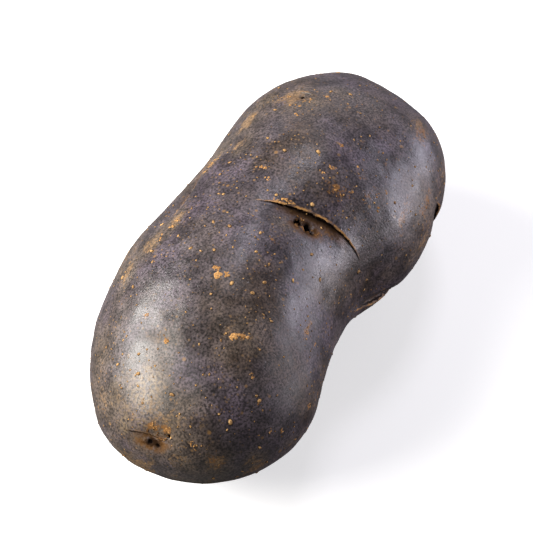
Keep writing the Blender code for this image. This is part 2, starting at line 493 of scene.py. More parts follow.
class Wiring:
    """Short ways to add and join the nodes of one tree."""

    def __init__(self, tree: Tree) -> None:
        """Works in the given tree."""
        self.tree = tree

    def node(self, kind: str, fed: dict[str | int, Value] | None = None,
             **settings: object) -> Node:
        """A new node.

        Args:
            kind: Its type, such as ShaderNodeMath.
            fed: What its inputs get, by name or number: other nodes' outputs or constants.
            **settings: Properties to set on it.

        Returns:
            The node.
        """
        made = self.tree.nodes.new(kind)
        for name, value in settings.items():
            setattr(made, name, value)
        for key, value in (fed or {}).items():
            if isinstance(key, int):
                self.feed(made.inputs[key], value)
            else:
                self.feed(next(s for s in made.inputs if s.enabled and s.name == key), value)
        return made

    def feed(self, socket: Socket, value: Value) -> None:
        """Joins an output to a socket, or sets the socket's own value."""
        if isinstance(value, bpy.types.NodeSocket):
            self.tree.links.new(value, socket)
        else:
            socket.default_value = value

    def result(self, node: Node) -> Socket:
        """A node's first enabled output."""
        return next(s for s in node.outputs if s.enabled)

    def math(self, operation: str, first: Value, *others: Value) -> Socket:
        """Values joined by one of Blender's operations, from left to right."""
        for other in others:
            made = self.node("ShaderNodeMath", {0: first, 1: other}, operation=operation)
            first = made.outputs[0]
        return first

    def times(self, *values: Value) -> Socket:
        """The product of some values."""
        return self.math("MULTIPLY", *values)

    def plus(self, *values: Value) -> Socket:
        """The sum of some values."""
        return self.math("ADD", *values)

    def minus(self, first: Value, second: Value) -> Socket:
        """The first value less the second."""
        return self.math("SUBTRACT", first, second)

    def most(self, *values: Value) -> Socket:
        """The largest of some values."""
        return self.math("MAXIMUM", *values)

    def ramp(self, value: Value, low: Value, high: Value, below: Value = 0.0,
             above: Value = 1.0) -> Socket:
        """A smooth step.

        Args:
            value: What is read.
            low: Where the step starts.
            high: Where it ends.
            below: The result below the step.
            above: The result above it.

        Returns:
            The result's socket.
        """
        fed = {"Value": value, "From Min": low, "From Max": high, "To Min": below,
               "To Max": above}
        return self.result(self.node("ShaderNodeMapRange", fed, interpolation_type="SMOOTHSTEP"))

    def mix(self, share: Value, under: Value, over: Value) -> Socket:
        """One colour laid over another, with the share of the upper one that shows."""
        fed = {0: share, 6: under, 7: over}
        return self.node("ShaderNodeMix", fed, data_type="RGBA", blend_type="MIX").outputs[2]

    def noise(self, place: Value | None, scale: Value, detail: float = 2.0,
              distortion: float = 0.0) -> Node:
        """Smooth noise.

        Args:
            place: Where it is read, or None for each point's own position.
            scale: Its cells in one metre.
            detail: How many finer layers it has.
            distortion: How much it is swirled.

        Returns:
            The noise's node.
        """
        fed = {"Scale": scale, "Detail": detail, "Distortion": distortion}
        if place is not None:
            fed["Vector"] = place
        return self.node("ShaderNodeTexNoise", fed, noise_dimensions="3D")

    def vector(self, operation: str, first: Value, second: tuple[float, float, float]) -> Socket:
        """A vector joined to a constant one by one of Blender's operations."""
        return self.node("ShaderNodeVectorMath", {0: first, 1: second},
                         operation=operation).outputs[0]

    def scaled(self, vector: Value, share: Value) -> Socket:
        """A vector or colour, made longer or brighter by a share."""
        return self.node("ShaderNodeVectorMath", {0: vector, "Scale": share},
                         operation="SCALE").outputs[0]


class Effect(Wiring):
    """A shader node group in the making, with its named inputs and outputs."""

    def __init__(self, name: str, numbers: dict[str, float], outputs: tuple[str, ...]) -> None:
        """Makes the empty group.

        Args:
            name: Its name.
            numbers: Its number inputs with their defaults; Vector comes before them.
            outputs: The names of its outputs.
        """
        super().__init__(bpy.data.node_groups.new(name, "ShaderNodeTree"))
        face = self.tree.interface
        face.new_socket("Vector", in_out="INPUT", socket_type="NodeSocketVector")
        for label, default in numbers.items():
            made = face.new_socket(label, in_out="INPUT", socket_type="NodeSocketFloat")
            made.default_value = default
        for label in outputs:
            face.new_socket(label, in_out="OUTPUT", socket_type="NodeSocketFloat")
        self.given = self.node("NodeGroupInput").outputs
        self.place = self.given["Vector"]
        self.out = self.node("NodeGroupOutput").inputs


class SharedEffects:
    """The node groups that the layers of the finishes share."""

    def __init__(self) -> None:
        """Builds every group once."""
        self.cloud = self._cloud()
        self.netting = self._netting()
        self.grains = self._grains()

    def _cloud(self) -> Tree:
        """Soft patches: a mask that is 1 inside them."""
        made = Effect("soft_patches", {"Scale": 100.0, "Low": 0.45, "High": 0.6}, ("Mask",))
        value = made.noise(made.place, made.given["Scale"], 4.0, 0.4).outputs["Fac"]
        made.feed(made.out["Mask"], made.ramp(value, made.given["Low"], made.given["High"]))
        return made.tree

    def _netting(self) -> Tree:
        """The fine broken net of old skin: its pale threads, and the skin's fine height."""
        made = Effect("skin_netting", {"Scale": 900.0, "Width": 0.05}, ("Threads", "Height"))
        scale = made.given["Scale"]
        value = made.noise(made.place, scale, 2.5, 0.8).outputs["Fac"]
        ridge = made.math("ABSOLUTE", made.minus(value, 0.5), 0.0)
        lines = made.ramp(ridge, 0.0, made.given["Width"], 1.0, 0.0)
        gaps = made.noise(made.place, made.times(scale, 1.7), 2.0).outputs["Fac"]
        made.feed(made.out["Threads"], made.times(lines, made.ramp(gaps, 0.45, 0.6)))
        made.feed(made.out["Height"], made.times(lines, 0.6))
        return made.tree

    def _grains(self) -> Tree:
        """Small separate specks: a mask that is 1 in each, and a random value for each."""
        made = Effect("small_grains", {"Scale": 900.0, "Size": 0.25, "Share": 0.2},
                      ("Mask", "Tone"))
        fed = {"Vector": made.place, "Scale": made.given["Scale"]}
        cells = made.node("ShaderNodeTexVoronoi", fed, feature="F1").outputs
        chance, girth, tone = made.node("ShaderNodeSeparateColor", {0: cells["Color"]}).outputs
        size = made.times(made.given["Size"], made.plus(girth, 0.35))
        spot = made.ramp(cells["Distance"], made.times(size, 0.5), size, 1.0, 0.0)
        chosen = made.math("LESS_THAN", chance, made.given["Share"])
        made.feed(made.out["Mask"], made.times(spot, chosen))
        made.feed(made.out["Tone"], tone)
        return made.tree


class Shading(Wiring):
    """The wiring of one new material."""

    def __init__(self, name: str) -> None:
        """Makes the material."""
        self.material = bpy.data.materials.new(name)
        self.material.use_nodes = True
        super().__init__(self.material.node_tree)

    @cached_property
    def place(self) -> Socket:
        """Object coordinates."""
        return self.node("ShaderNodeTexCoord").outputs["Object"]

    def shade(self, **values: Value) -> None:
        """Feeds the shader's sockets, named with underscores for spaces."""
        shader = self.tree.nodes["Principled BSDF"].inputs
        for name, value in values.items():
            self.feed(shader[name.replace("_", " ")], value)

    def attribute(self, name: str) -> Socket:
        """The value of a named attribute of the mesh."""
        return self.node("ShaderNodeAttribute", attribute_name=name).outputs["Fac"]

    def effect(self, tree: Tree, *numbers: float) -> Any:
        """A shared group's outputs, with its number inputs given in order."""
        fed = dict(enumerate((self.place, *numbers)))
        return self.node("ShaderNodeGroup", fed, node_tree=tree).outputs

    def cells(self, scale: float, detail: float) -> Socket:
        """Smooth noise over the object, of so many cells in one metre."""
        return self.noise(self.place, scale, detail).outputs["Fac"]

    def speckle(self, speckle: Speckle) -> Socket:
        """Noise over the object, as a mask."""
        value = self.cells(speckle.scale, speckle.detail)
        return self.ramp(value, speckle.low, speckle.high, speckle.below, speckle.above)

    def bump(self, height: Socket, strength: float, distance: float) -> Socket:
        """The normal bent by a height, its distance given in metres."""
        fed = {"Strength": strength, "Distance": distance, "Height": height}
        return self.node("ShaderNodeBump", fed).outputs["Normal"]


# Finishes


@dataclass(frozen=True)
class SkinFinish:
    """The thin dark skin: netting, earth film, stains, worn lips, scurf that is partly a painted
    highlight, and painted shade in its creases and pits.
    """

    slate: Colour = (0.039, 0.031, 0.036, 1.0)
    umber: Colour = (0.035, 0.024, 0.019, 1.0)
    violet: Colour = (0.050, 0.038, 0.051, 1.0)
    thread: Colour = (0.100, 0.080, 0.068, 1.0)
    veil: Colour = (0.062, 0.046, 0.034, 1.0)
    film: Colour = (0.165, 0.102, 0.053, 1.0)
    ochre: Colour = (0.240, 0.128, 0.042, 1.0)
    rust: Colour = (0.180, 0.082, 0.022, 1.0)
    # peat: the dark brown of the eye stains, also painted as shade round the pits and under the
    # brows
    peat_and_hollow_shade: Colour = (0.034, 0.015, 0.005, 1.0)
    cork: Colour = (0.420, 0.220, 0.078, 1.0)
    # scurf: pale cream scurf, laid mostly where the key light's highlight falls, so partly a
    # painted highlight
    scurf: Colour = (0.190, 0.136, 0.084, 1.0)
    # earth: the near-black of the painted shade in the creases and pits, with some earth
    earth: Colour = (0.006, 0.003, 0.002, 1.0)
    roughness: float = 0.31
    film_roughness: float = 0.60
    specular: float = 0.5
    even_veil: Speckle = Speckle(130.0, 3.0, 0.25, 0.62, 0.2, 0.85)
    smudges: Speckle = Speckle(240.0, 3.0, 0.34, 0.66, 0.68, 1.34)
    grain: Speckle = Speckle(2000.0, 3.0, 0.32, 0.68, 0.32, 2.05)
    thread_share: Speckle = Speckle(150.0, 4.0, 0.36, 0.64, 0.05, 0.45)
    warm_film: Speckle = Speckle(420.0, 3.0, 0.44, 0.68, 0.0, 0.6)
    film_crumbs: Speckle = Speckle(1800.0, 2.0, 0.34, 0.66, 0.5, 1.5)
    dust_share: Speckle = Speckle(110.0, 3.0, 0.40, 0.62, 0.1, 0.6)
    # The grains of the scurf, which is partly a painted highlight
    scurf_grains: Speckle = Speckle(1700.0, 3.0, 0.38, 0.64, 0.0, 0.95)
    stain_edge: Speckle = Speckle(620.0, 4.0, 0.28, 0.60)
    chipped_lip: Speckle = Speckle(330.0, 4.0, 0.40, 0.56, 0.15, 1.0)
    uneven_gloss: Speckle = Speckle(240.0, 3.0, 0.32, 0.68, -0.03, 0.08)


class SkinShading(Shading):
    """The skin's material, built up in layers from what the mesh stores."""

    def __init__(self, finish: SkinFinish, effects: SharedEffects) -> None:
        """Starts the material with the masks that several layers read.

        Args:
            finish: The colours and the speckles.
            effects: The shared node groups.
        """
        super().__init__("potato_skin")
        self.finish, self.effects = finish, effects
        self.net = self.effect(effects.netting, 1450.0, 0.06)
        waver = self.times(self.minus(self.cells(800.0, 3.0), 0.5), 0.7)
        self.past = self.plus(self.attribute("past"), waver)
        self.reach, self.pit = self.attribute("reach"), self.attribute("pit")
        self.film_share, self.stain = self.attribute("film"), self.attribute("stain")
        veil = self.ramp(self.film_share, 0.0, 0.55)
        self.veil = self.times(veil, self.speckle(finish.even_veil))
        self.film = self._film()
        self.dark = self._painted_crease_shade()
        self.shade_under_brows = self._painted_brow_shade()
        # The eyes' real brown stain, joined with the painted shade under their brows
        patch = self.times(self.ramp(self.stain, 0.05, 0.75), self.speckle(finish.stain_edge))
        self.eye_stain_and_shade = self.most(patch, self.shade_under_brows)

    def build(self) -> bpy.types.Material:
        """Lays every layer over the last and feeds the shader."""
        colour = self._stained(self._scurfed_with_painted_highlight(self._dusted(self._body())))
        # Base Color: the creases and pits are painted near-black as shade, with some earth.
        # Metallic on that black takes the gloss out of the painted shade, and dims the gloss of
        # the eye stains and the painted shade under the brows.
        self.shade(
            Base_Color=self.mix(self.dark, colour, self.finish.earth),
            Metallic=self.most(self.times(self.eye_stain_and_shade, 0.85), self.times(self.dark, 0.96)),
            Roughness=self._roughness(),
            Normal=self._normal(),
            Specular_IOR_Level=self.finish.specular,
        )
        return self.material

    def _film(self) -> Socket:
        """Where earth films the skin: in streaks along the tuber, broken into fine grains."""
        along = self.vector("MULTIPLY", self.place, (0.45, 1.0, 1.0))
        streaks = self.noise(along, 330.0, 5.0, 0.8).outputs["Fac"]
        broken = self.plus(self.times(streaks, 0.65), self.times(self.cells(1700.0, 2.0), 0.35))
        edge = self.minus(0.73, self.times(self.film_share, 0.39))
        over = self.ramp(broken, edge, self.plus(edge, 0.13))
        return self.times(over, self.ramp(self.film_share, 0.0, 0.6, 0.25, 1.0))

    def _painted_crease_shade(self) -> Socket:
        """Where shade is painted black, with some earth: in the creases under the brows and in
        the pits.
        """
        width = self.plus(self.times(self.math("POWER", self.reach, 3.0), -0.85), -0.2)
        inner = self.ramp(self.past, width, self.times(width, 0.3))
        groove = self.times(self.ramp(self.past, 0.06, 0.20, 1.0, 0.0), inner,
                            self.ramp(self.reach, 0.05, 0.6))
        ragged = self.plus(self.pit, self.times(self.cells(1300.0, 3.0), 1.6))
        return self.most(groove, self.ramp(ragged, 1.35, 2.0, 1.0, 0.0))

    def _painted_brow_shade(self) -> Socket:
        """Where shade is painted brown under a brow, most beside the crease."""
        return self.times(self.ramp(self.past, -3.4, -0.6), self.ramp(self.reach, 0.45, 1.0),
                          self.ramp(self.past, 0.05, 0.15, 0.85, 0.0))

    def _body(self) -> Socket:
        """The skin under its veil of dust: soft patches, fine grain and pale threads."""
        finish = self.finish
        patches = self.effect(self.effects.cloud, 60.0, 0.46, 0.68)["Mask"]
        colour = self.mix(patches, finish.slate, finish.umber)
        bloom = self.effect(self.effects.cloud, 95.0, 0.48, 0.66)["Mask"]
        colour = self.mix(self.times(bloom, 0.7), colour, finish.violet)
        colour = self.mix(self.veil, colour, finish.veil)
        shades = self.times(self.speckle(finish.smudges), self.speckle(finish.grain))
        threads = self.times(self.net["Threads"], self.speckle(finish.thread_share))
        return self.mix(threads, self.scaled(colour, shades), finish.thread)

    def _dusted(self, under: Socket) -> Socket:
        """Lays the film of earth and its ochre grains over a colour."""
        finish = self.finish
        earth = self.mix(self.speckle(finish.warm_film), finish.film, finish.ochre)
        earth = self.scaled(earth, self.speckle(finish.film_crumbs))
        colour = self.mix(self.times(self.film, 0.85), under, earth)
        dust = self.effect(self.effects.grains, 1250.0, 0.42, 0.34)["Mask"]
        dust = self.times(dust, self.speckle(finish.dust_share))
        colour = self.mix(dust, colour, finish.film)
        grains = self.effect(self.effects.grains, 640.0, 0.30, 0.15)
        speck = self.mix(grains["Tone"], finish.film, finish.ochre)
        return self.mix(self.times(grains["Mask"], 0.7), colour, speck)

    def _scurfed_with_painted_highlight(self, under: Socket) -> Socket:
        """Lays pale cream scurf over a colour, in fine broken grains; under the key light's
        highlight it is partly a painted highlight.
        """
        edge = self.minus(self.attribute("scurf"), self.times(self.cells(300.0, 4.0), 1.1))
        share = self.times(self.ramp(edge, -0.35, 0.25), self.speckle(self.finish.scurf_grains))
        return self.mix(share, under, self.finish.scurf)

    def _stained(self, under: Socket) -> Socket:
        """Lays the eyes' stains, darkened as painted shade round the pits and under the brows,
        the rusty blotches and the corky worn lips over a colour.
        """
        finish = self.finish
        ragged = self.cells(finish.stain_edge.scale, finish.stain_edge.detail)
        blotch = self.attribute("rust")
        edge = self.minus(0.65, self.times(blotch, 0.30))
        flecks = self.plus(self.times(ragged, 0.5), self.times(self.cells(1500.0, 2.0), 0.5))
        rusty = self.times(self.ramp(flecks, edge, self.plus(edge, 0.14)),
                           self.ramp(blotch, 0.02, 0.3))
        deep = self.ramp(self.times(self.stain, ragged), 0.28, 0.52)
        # Painted shade: the hollow round each pit and the shade under each brow take the dark
        # peat colour
        painted_pit_shade = self.ramp(self.pit, 1.3, 2.8, 1.0, 0.0)
        deep = self.most(deep, self.times(self.most(painted_pit_shade, self.shade_under_brows), 0.8))
        stain = self.mix(deep, finish.rust, finish.peat_and_hollow_shade)
        colour = self.mix(self.most(self.eye_stain_and_shade, rusty), under, stain)
        lip = self.times(self.ramp(self.past, 0.06, 0.20),
                         self.ramp(self.past, 0.30, 0.62, 1.0, 0.0),
                         self.ramp(self.reach, 0.0, 0.25), self.attribute("worn"),
                         self.speckle(finish.chipped_lip))
        return self.mix(lip, colour, finish.cork)

    def _roughness(self) -> Socket:
        """Glossy skin, duller on its threads, edge on, in hollows and where earth lies."""
        finish = self.finish
        dull = self.most(self.attribute("dull"), self.times(self.veil, 0.45), self.film)
        facing = self.node("ShaderNodeLayerWeight").outputs["Facing"]
        return self.plus(
            self.speckle(finish.uneven_gloss),
            finish.roughness,
            self.times(self.net["Threads"], 0.18),
            self.ramp(facing, 0.58, 0.95, 0.0, 0.4),
            self.times(dull, finish.film_roughness - finish.roughness),
            self.times(self.most(self.dark, self.stain), 0.5),
        )

    def _normal(self) -> Socket:
        """The relief that is too fine for the mesh: threads, pores, grain and streaks."""
        round_it = self.vector("MULTIPLY", self.place, (1.0, 0.35, 0.35))
        pores = self.effect(self.effects.grains, 820.0, 0.26, 0.45)["Mask"]
        height = self.plus(
            self.minus(self.times(self.net["Height"], 0.25), pores),
            self.times(self.cells(900.0, 2.0), 0.4),
            self.cells(2000.0, 3.0),
            self.times(self.noise(round_it, 2400.0, 2.0).outputs["Fac"], 0.8),
        )
        return self.bump(height, 0.28, 0.00014)


@dataclass(frozen=True)
class CorkFinish:
    """Dry corky matter: the dots, and flakes of old skin."""

    name: str
    pale: Colour
    deep: Colour
    # rim: the near-black of painted shade at the foot of each dot and on the underside of each
    # crumb
    rim: Colour = (0.018, 0.011, 0.008, 1.0)
    roughness: float = 0.7
    specular: float = 0.2
    grain: Speckle = Speckle(2400.0, 3.0, 0.32, 0.68)

    def material(self) -> bpy.types.Material:
        """The material, which reads each dot's or flake's own tone and its painted shade rim."""
        wires = Shading(self.name)
        share = wires.times(wires.plus(wires.speckle(self.grain), wires.attribute("tone")), 0.5)
        colour = wires.mix(share, self.deep, self.pale)
        wires.shade(
            # The rim attribute marks painted shade: the dots' dark skirts and the crumbs'
            # undersides
            Base_Color=wires.mix(wires.attribute("rim"), colour, self.rim),
            Normal=wires.bump(wires.cells(3600.0, 3.0), 0.5, 0.0001),
            Roughness=self.roughness,
            Specular_IOR_Level=self.specular,
        )
        return wires.material


class Cork(Enum):
    """The kinds of corky matter on the skin."""

    DOT = CorkFinish("lenticel_cork", (0.54, 0.32, 0.125, 1.0), (0.13, 0.060, 0.022, 1.0))
    FLAKE = CorkFinish("flaked_skin", (0.50, 0.27, 0.095, 1.0), (0.15, 0.060, 0.016, 1.0))
    EARTH = CorkFinish("dry_earth", (0.26, 0.12, 0.036, 1.0), (0.024, 0.011, 0.004, 1.0))


# Meshes


def plain_piece(name: str, data: bpy.types.ID) -> bpy.types.Object:
    """A new object at the origin, unturned, that shows a mesh, a light or the camera."""
    made = bpy.data.objects.new(name, data)
    bpy.context.scene.collection.objects.link(made)
    return made


def closed_edit(made: bmesh.types.BMesh, name: str) -> bpy.types.Mesh:
    """A new mesh from an edit mesh, which is freed."""
    mesh = bpy.data.meshes.new(name)
    made.to_mesh(mesh)
    made.free()
    return mesh


def rows_of(items: Any, key: str) -> Array:
    """One vector of each of a mesh's items, as rows of three numbers."""
    values = np.empty(len(items) * 3, np.float32)
    items.foreach_get(key, values)
    return values.reshape(-1, 3).astype(float)


def move_points(mesh: bpy.types.Mesh, points: Array) -> None:
    """Moves a mesh's points to the given rows."""
    mesh.vertices.foreach_set("co", points.astype(np.float32).ravel())
    mesh.update()


def write_attribute(mesh: bpy.types.Mesh, name: str, values: Any, kind: str = "FLOAT") -> None:
    """Stores one number or vector for each point of a mesh.

    Args:
        mesh: The mesh.
        name: The attribute's name.
        values: The numbers, or rows of three.
        kind: FLOAT or FLOAT_VECTOR.
    """
    layer = mesh.attributes.new(name, kind, "POINT")
    key = "vector" if kind == "FLOAT_VECTOR" else "value"
    layer.data.foreach_set(key, np.asarray(values, np.float32).ravel())


@dataclass(frozen=True)
class FilmSpread:
    """How thick the film of dried earth lies on each side of the tuber, as shares.

    Each band is its middle angle and half its width, in degrees. Each reach is how far along
    the tuber the film starts and over what length it thickens, or for below in millimetres.
    """

    everywhere: float = 0.04
    rose_end: float = 0.44
    stem_end: float = 0.06
    left: float = 0.27
    below: float = 0.35
    right: float = 0.5
    patchiness: float = 0.36
    thickest: float = 0.95
    left_band: tuple[float, float] = (26.0, 42.0)
    right_band: tuple[float, float] = (172.0, 26.0)
    rose_reach: tuple[float, float] = (0.80, 0.25)
    stem_reach: tuple[float, float] = (0.55, 0.4)
    below_reach: tuple[float, float] = (2.0, 16.0)
    right_reach: tuple[float, float] = (0.1, 0.25)


@dataclass
class Skin:
    """The whole tuber's outer skin, as one fine closed mesh."""

    form: TuberForm
    cells: int = 58
    refined: tuple[float, ...] = (2.4, 1.2, 0.6)
    film: FilmSpread = FilmSpread()
    dust: tuple[Blotch, ...] = (
        Blotch(-0.93, 92, (11.0, 8.0), 0.85),
        Blotch(-0.80, 70, (7.0, 9.0), 0.45),
        Blotch(-0.95, 60, (9.0, 9.0), 0.6),
        Blotch(-0.83, -176, (5.0, 3.2), 0.95, 20),
        Blotch(-0.69, -175, (3.4, 4.4), 0.8, 10),
        Blotch(0.56, 66, (8.0, 6.0), 0.62),
        Blotch(0.66, 84, (5.0, 3.0), 0.5),
        Blotch(0.50, 50, (5.0, 9.0), 0.45),
        Blotch(-0.195, 52, (2.6, 6.0), 0.9),
        Blotch(-0.29, 47, (3.2, 7.0), 0.9),
        Blotch(-0.45, 38, (3.5, 9.0), 0.7),
        Blotch(0.15, 44, (2.2, 7.0), 0.8),
        Blotch(0.55, 108, (9.0, 7.0), 0.2),
        Blotch(0.33, 176, (5.0, 12.0), 0.6),
        Blotch(0.24, 165, (4.0, 7.0), 0.5),
        Blotch(-0.60, 110, (8.0, 12.0), 0.3),
        Blotch(-0.80, 150, (8.0, 6.0), 0.3),
        Blotch(-0.50, 150, (7.0, 12.0), 0.45),
        Blotch(-0.70, 74, (5.0, 2.2), 0.55),
        Blotch(-0.985, 140, (8.0, 5.0), 0.7),
        Blotch(-0.93, 165, (6.0, 4.0), 0.9),
        Blotch(-0.985, -60, (8.0, 7.0), 0.9),
        Blotch(-0.06, 106, (3.5, 2.2), 0.35),
        Blotch(0.995, 0, (6.0, 6.0), 0.9),
        Blotch(0.40, 46, (2.5, 5.0), 0.95),
        Blotch(0.24, 57, (2.0, 4.0), 0.75),
        Blotch(0.73, 134, (4.0, 6.0), 0.75),
    )
    rust: tuple[Blotch, ...] = (
        Blotch(0.185, 117, (2.8, 2.2), 0.95),
        Blotch(0.26, 130, (3.2, 2.6), 0.5),
        Blotch(0.31, 122, (5.0, 3.0), 0.35),
        Blotch(0.371, 105, (1.6, 1.0), 0.6),
        Blotch(0.46, 120, (6.0, 3.0), 0.4),
        Blotch(0.32, 150, (1.8, 5.0), 0.8, 20),
        Blotch(0.45, 159, (1.6, 6.0), 0.85, 8),
        Blotch(0.24, 158, (4.0, 3.0), 0.45),
        Blotch(0.04, 128, (2.6, 1.6), 0.9),
        Blotch(-0.014, 117, (3.6, 1.5), 1.0),
        Blotch(0.006, 121, (2.6, 1.5), 0.9),
        Blotch(-0.958, 82, (2.8, 1.4), 1.0),
        Blotch(-0.955, 99, (1.8, 1.5), 0.95),
        Blotch(0.999, 0, (3.0, 3.0), 1.0),
        Blotch(-0.158, 107, (1.3, 0.8), 0.8),
        Blotch(0.70, 138, (2.5, 5.0), 0.8),
        Blotch(-0.706, 79, (0.9, 0.8), 0.9),
        Blotch(-0.627, 63, (0.9, 0.9), 0.8),
        Blotch(-0.36, 146, (1.4, 2.6), 0.95),
        Blotch(-0.93, 165, (3.5, 2.0), 0.7),
        Blotch(-0.677, 126, (1.8, 0.9), 0.5),
        Blotch(0.05, 147, (1.4, 1.4), 0.4),
        Blotch(0.60, 98, (7.0, 4.0), 0.35),
    )
    dull: tuple[Blotch, ...] = (
        Blotch(-0.52, 144, (8.0, 14.0), 1.0),
        Blotch(-0.22, 132, (5.0, 6.0), 0.5),
        Blotch(-0.70, 73, (6.0, 1.8), 0.9),
        Blotch(-0.80, 98, (5.0, 7.0), 0.7),
    )
    # Pale scurf; the two strongest patches lie where the key light's highlight falls, so they are
    # partly a painted highlight
    scurf: tuple[Blotch, ...] = (
        Blotch(-0.86, 74, (4.6, 5.2), 1.0),
        Blotch(-0.62, 71, (2.6, 3.0), 0.35),
        Blotch(-0.93, 60, (9.0, 10.0), 0.62),
        Blotch(-0.965, 100, (9.0, 6.0), 0.45),
    )

    def build(self, material: bpy.types.Material) -> bpy.types.Object:
        """The piece, in the given material."""
        mesh = self._grid()
        smooth = self._on_tuber(rows_of(mesh.vertices, "co"))
        move_points(mesh, smooth)
        normals = rows_of(mesh.vertex_normals, "vector")
        moved = smooth + normals * self.form.height(smooth)[:, None]
        for bud in self.form.buds:
            moved += bud.lean(smooth)
        middle = (moved.min(0) + moved.max(0)) / 2
        self.form.centre = np.array([middle[0], middle[1], 0.0])
        move_points(mesh, self.form.put_down(moved))
        for name, values in self._masks(smooth).items():
            write_attribute(mesh, name, values)
        mesh.shade_smooth()
        mesh.materials.append(material)
        return plain_piece("skin", mesh)

    def _on_tuber(self, corners: Array) -> Array:
        """Points of a cube of side 2, moved onto the smooth tuber."""
        return self.form.smooth(unit(np.tan(corners * math.pi / 4)))

    def _grid(self) -> bpy.types.Mesh:
        """A cube of side 2 with an even grid, twice as fine along X and finer in the eyes."""
        grid = bmesh.new()
        bmesh.ops.create_cube(grid, size=2)
        along = [e for e in grid.edges if abs(e.verts[0].co.x - e.verts[1].co.x) > 1]
        bmesh.ops.subdivide_edges(grid, edges=along, cuts=2 * self.cells - 1, use_grid_fill=True)
        around = [e for e in grid.edges if e.calc_length() > 2 / self.cells]
        bmesh.ops.subdivide_edges(grid, edges=around, cuts=self.cells - 1, use_grid_fill=True)
        for within in self.refined:
            middles = np.array([f.calc_center_median() for f in grid.faces])
            near = self.form.fine(self._on_tuber(middles), within)
            grid.faces.ensure_lookup_table()
            edges = {e for i in np.nonzero(near)[0] for e in grid.faces[int(i)].edges}
            ordered = sorted(edges, key=lambda e: e.index)
            bmesh.ops.subdivide_edges(grid, edges=ordered, cuts=1, use_grid_fill=True)
            grid.edges.index_update()
        bmesh.ops.recalc_face_normals(grid, faces=grid.faces)
        return closed_edit(grid, "skin")

    def _masks(self, points: Array) -> dict[str, Array]:
        """What the finish reads at each point of the smooth skin, by the attribute's name."""
        past = np.full(len(points), FAR_OFF)
        reach, worn, stain = np.zeros((3, len(points)))
        pit = np.full(len(points), NO_PIT)
        for bud in self.form.buds:
            eye = bud.eye
            eye_reach, past_brow = bud.crease(points)
            nearest = (eye_reach > 0) & (np.abs(past_brow) < np.abs(past))
            past = np.where(nearest, past_brow, past)
            # reach, scaled by the eye's shade, sets how wide and black the painted crease shade
            # is
            reach = np.where(nearest, eye_reach * eye.shade, reach)
            worn = np.where(nearest, eye.worn, worn)
            across, stemward, out = bud.frame.local(points)
            near = out > -eye.brow[0]
            for hole in eye.pits:
                pit = np.where(near, np.minimum(pit, hole.far(across, stemward)), pit)
            aside, above, half_length, half_width = eye.patch
            far = ((across - aside) / half_length) ** 2 + ((stemward - above) / half_width) ** 2
            stain = np.maximum(stain, np.where(near, np.exp(-far), 0.0) * eye.stain)
        return {
            "past": np.clip(past, -FAR_OFF, FAR_OFF),
            "reach": reach,
            "worn": worn,
            "pit": pit,
            "stain": np.clip(stain, 0, 1),
            "rust": self._strongest(self.rust, points),
            "scurf": self._strongest(self.scurf, points),
            "dull": self._strongest(self.dull, points),
            "film": self._film(points),
        }

    def _strongest(self, blotches: tuple[Blotch, ...], points: Array) -> Array:
        """How strong the strongest of some blotches is at each point."""
        return np.max([self.form.share_of(blotch, points) for blotch in blotches], axis=0)

    def _film(self, points: Array) -> Array:
        """How thick the film of dried earth is at each point, as a share."""
        spread = self.film
        place = points[:, 0] / (self.form.length / 2)
        angle = np.degrees(np.arctan2(points[:, 2], points[:, 1]))
        patchy = [noise.noise(Vector(p / FILM_PATCH) + FILM_OFFSET) for p in points]
        right = band(angle, *spread.right_band) * fade(place, *spread.right_reach)
        share = spread.everywhere + spread.rose_end * fade(-place, *spread.rose_reach)
        share += spread.stem_end * fade(place, *spread.stem_reach)
        share += spread.left * band(angle, *spread.left_band)
        share += spread.below * fade(-points[:, 2], *spread.below_reach) + spread.right * right
        share = np.maximum(share, self._strongest(self.dust, points))
        return np.clip(share + spread.patchiness * np.array(patchy), 0, spread.thickest)


@dataclass
class DotShape:
    """A low mound with a skirt painted dark as shade, the unit shape of the dots.

    Each ring is its radius, its height and how much of the painted shade rim's colour it takes.
    """

    sides: int = 9
    rings: tuple[tuple[float, float, float], ...] = (
        (1.50, -0.16, 1.0),
        (1.20, 0.04, 1.0),
        (1.0, 0.16, 0.55),
        (0.78, 0.42, 0.0),
        (0.42, 0.60, 0.0),
    )
    top: float = 0.66
    bottom: float = -0.3

    def build(self) -> bpy.types.Object:
        """The shape, one unit across from its middle to its edge."""
        turns = [2 * math.pi * side / self.sides for side in range(self.sides)]
        points = [(radius * math.cos(turn), radius * math.sin(turn), height)
                  for radius, height, _rim in self.rings for turn in turns]
        points += [(0.0, 0.0, self.top), (0.0, 0.0, self.bottom)]
        rims = [rim for _radius, _height, rim in self.rings for _turn in turns] + [0.0, 1.0]
        last = (len(self.rings) - 1) * self.sides
        crown, base = len(points) - 2, len(points) - 1
        pairs = [(side, (side + 1) % self.sides) for side in range(self.sides)]
        faces: list[tuple[int, ...]] = []
        for start in range(0, last, self.sides):
            above = start + self.sides
            faces += [(start + a, start + b, above + b, above + a) for a, b in pairs]
        for a, b in pairs:
            faces += [(last + a, last + b, crown), (b, a, base)]
        mesh = bpy.data.meshes.new("dot_shape")
        mesh.from_pydata(points, [], faces)
        mesh.update()
        mesh.shade_smooth()
        # The skirt's outer rings and its base take the painted shade
        write_attribute(mesh, "rim", rims)
        return plain_piece("dot_shape", mesh)


